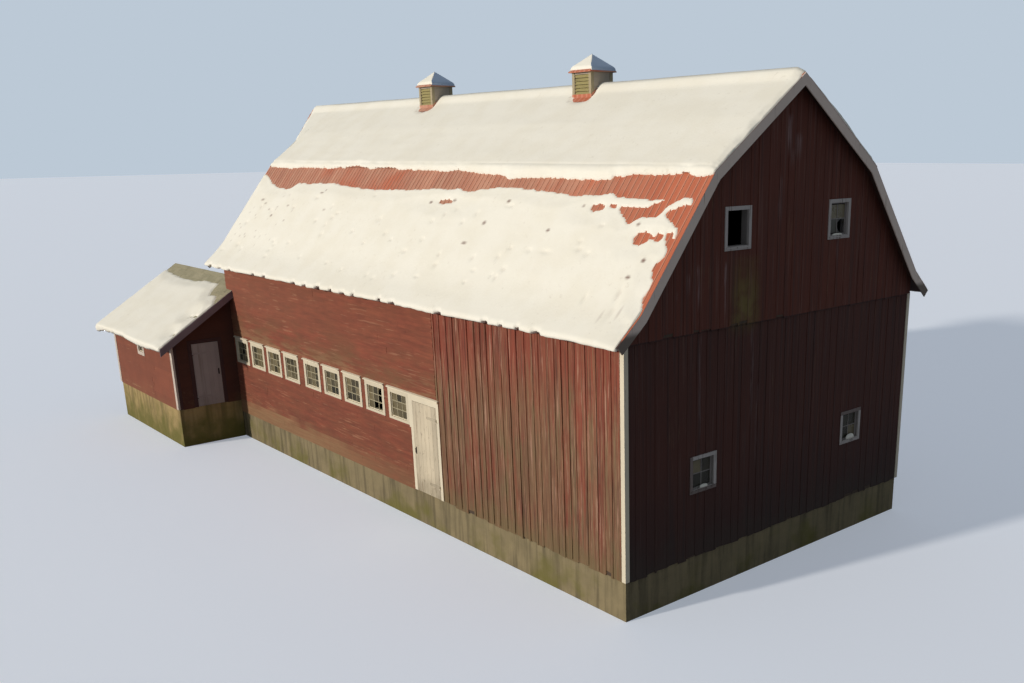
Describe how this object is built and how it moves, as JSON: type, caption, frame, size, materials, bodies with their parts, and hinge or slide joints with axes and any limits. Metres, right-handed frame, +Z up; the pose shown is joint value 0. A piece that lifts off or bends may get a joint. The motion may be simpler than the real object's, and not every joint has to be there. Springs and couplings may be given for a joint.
{
  "type": "red barn",
  "caption": "Red gambrel-roofed dairy barn with flared eaves, hay hood, ridge cupolas, a window row, a hinged side door and a low gabled annex with its own door.",
  "frame": {"origin": "middle of the footprint's bounding box, at the lowest ground, under the foundation", "axes": "+Z up, +Y along the ridge from the front gable to the back one, -X the long side with the door"},
  "size_m": [11.905, 24.318, 10.86],
  "materials": {
    "concrete": "rough weathered concrete",
    "weathered_boards": "vertical boards and battens, red paint mostly worn off",
    "lap_siding": "lap siding in faded red paint",
    "gable_boards": "vertical boards in dark red paint",
    "bare_timber": "sawn timber, bare",
    "red_timber": "sawn timber in old red paint",
    "roof_metal": "ribbed sheet in faded orange red",
    "white_trim": "white painted boards, weathered",
    "grey_trim": "bargeboards in grey white paint, weathered",
    "dirty_glass": "old dusty window glass",
    "door_paint": "white painted board door with iron strap hinges",
    "cupola_boards": "white paint worn to grey",
    "cupola_slats": "weathered slats with yellow green growth",
    "cupola_metal": "sheet metal in faded red",
    "annex_roofing": "grey green mineral roofing"
  },
  "bodies": {
    "barn": {"foundation": "concrete", "left_wall_boarded": "weathered_boards", "left_wall_over_door": "lap_siding", "left_wall_windowed": "lap_siding", "right_wall_boarded": "weathered_boards", "right_wall_windowed": "lap_siding", "front_gable_lower": "gable_boards", "front_gable_upper": "gable_boards", "back_gable_lower": "gable_boards", "back_gable_upper": "gable_boards", "loft_floor": "bare_timber", "loft_joists": "bare_timber", "loft_posts": "bare_timber", "lower_rafters_left": "bare_timber", "lower_rafters_right": "bare_timber", "upper_rafters_left": "bare_timber", "upper_rafters_right": "bare_timber", "rafter_tails": "red_timber", "knuckle_beams": "bare_timber", "ridge_beam": "bare_timber", "roof_lower_left": "roof_metal", "roof_lower_right": "roof_metal", "roof_upper_left": "roof_metal", "roof_upper_right": "roof_metal", "ridge_cap": "roof_metal", "hay_hood": "roof_metal", "hay_door": "gable_boards", "bargeboards": "grey_trim", "corner_boards": "white_trim", "side_window_frames": "white_trim", "side_window_glass": "dirty_glass", "gable_window_frames": "white_trim", "gable_window_glass": "dirty_glass", "side_door_frame": "white_trim", "cupola_bodies": "cupola_boards", "cupola_louvers": "cupola_slats", "cupola_roofs": "cupola_metal", "annex_base": "concrete", "annex_front_wall": "lap_siding", "annex_side_walls": "lap_siding", "annex_back_wall": "lap_siding", "annex_roof": "annex_roofing", "annex_trim": "white_trim"},
    "side_door": {"side_door": "door_paint"},
    "annex_door": {"annex_door": "door_paint"}
  },
  "joints": [
    {"name": "side_door_hinge", "type": "hinge", "parent": "barn", "child": "side_door", "pos_m": [-3.6255, -5.477, 1.96], "axis": [0, 0, 1], "range_deg": [0, 110]},
    {"name": "annex_door_hinge", "type": "hinge", "parent": "barn", "child": "annex_door", "pos_m": [-4.9355, 6.203, 2.18], "axis": [0, 0, -1], "range_deg": [0, 105]}
  ]
}
